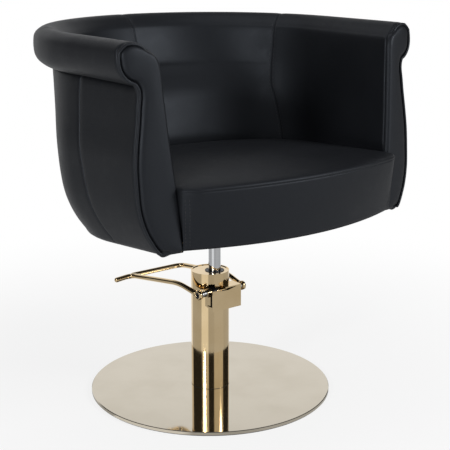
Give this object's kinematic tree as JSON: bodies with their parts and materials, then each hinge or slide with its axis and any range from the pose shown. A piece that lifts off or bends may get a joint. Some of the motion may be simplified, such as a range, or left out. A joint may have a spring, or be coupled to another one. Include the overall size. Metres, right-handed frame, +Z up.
{
  "type": "hairdressing chair",
  "caption": "Leather tub armchair with a rolled rim that swivels and lifts on a foot-pumped hydraulic column over a flat round mirror-finish foot.",
  "frame": {"origin": "centre of the foot's underside, on the floor, on the column's axis", "axes": "+Z up; the sitter faces -Y; +X is on the sitter's left hand"},
  "size_m": [0.7734, 0.733, 0.8356],
  "materials": {
    "mirror_base": "mirror-polished champagne plating",
    "gold": "polished champagne gold plating",
    "chrome_rod": "hard chrome, polished",
    "steel": "machined",
    "dark_steel": "black oxide, satin",
    "bronze": "machined bronze",
    "rubber": "matt",
    "cloth": "thin woven dust cover",
    "plywood": "raw birch plywood",
    "leather": "semi-matt black leather, fine grain, self-colour stitching"
  },
  "bodies": {
    "base": {"base_disc": "mirror_base", "floor_mat": "rubber", "foot_bolts": "dark_steel", "foot_gasket": "rubber", "pump_flange": "steel", "pump_sleeve": "gold", "pump_cylinder": "steel", "pump_head": "gold", "rod_bush": "bronze", "rod_seal": "rubber", "gland_nut": "dark_steel", "shaft_bushes": "bronze", "plunger_barrel": "steel", "check_valve": "bronze", "lever_cover": "gold", "cover_screws": "dark_steel"},
    "lever": {"lever_shaft": "steel", "pump_finger": "dark_steel", "lever_arm_near": "gold", "lever_arm_far": "gold", "arm_screws": "dark_steel", "shaft_collars": "gold"},
    "pump_plunger": {"plunger": "steel", "plunger_spring": "steel"},
    "lift": {"piston_rod": "chrome_rod", "piston": "steel", "piston_seal": "rubber", "piston_nut": "dark_steel", "thrust_washer": "bronze", "retaining_washer": "dark_steel", "retaining_screw": "dark_steel"},
    "seat": {"seat_hub": "dark_steel", "mounting_plate": "dark_steel", "plate_bolts": "steel", "tee_nuts": "steel", "dust_cover": "cloth", "seat_board": "plywood", "tub_shell": "plywood", "front_post_left": "plywood", "front_post_right": "plywood", "inner_side_left": "leather", "inner_back_left": "leather", "inner_back_right": "leather", "inner_side_right": "leather", "outer_side_left": "leather", "outer_back_left": "leather", "outer_back_right": "leather", "outer_side_right": "leather", "rim_roll": "leather", "facing_left": "leather", "facing_right": "leather", "piping_left": "leather", "piping_right": "leather", "seat_cushion": "leather"}
  },
  "joints": [
    {"name": "lever_press", "type": "hinge", "parent": "base", "child": "lever", "pos_m": [0, -0.04, 0.245], "axis": [-1, 0, 0], "range_deg": [0, 20], "stiffness_Nm_per_rad": 6, "springref_deg": -28.65},
    {"name": "plunger_slide", "type": "slide", "parent": "base", "child": "pump_plunger", "axis": [0, 0, -1], "range_m": [0, 0.0197], "deforming": ["plunger_spring"]},
    {"name": "seat_lift", "type": "slide", "parent": "base", "child": "lift", "axis": [0, 0, 1], "range_m": [-0.12, 0.02]},
    {"name": "seat_swivel", "type": "hinge", "parent": "lift", "child": "seat", "pos_m": [0.007, -0.008, 0.43], "axis": [0, 0, 1], "continuous": true}
  ],
  "couplings": [
    {"joint": "plunger_slide", "follows": "lever_press", "m_per_rad": 0.056}
  ]
}
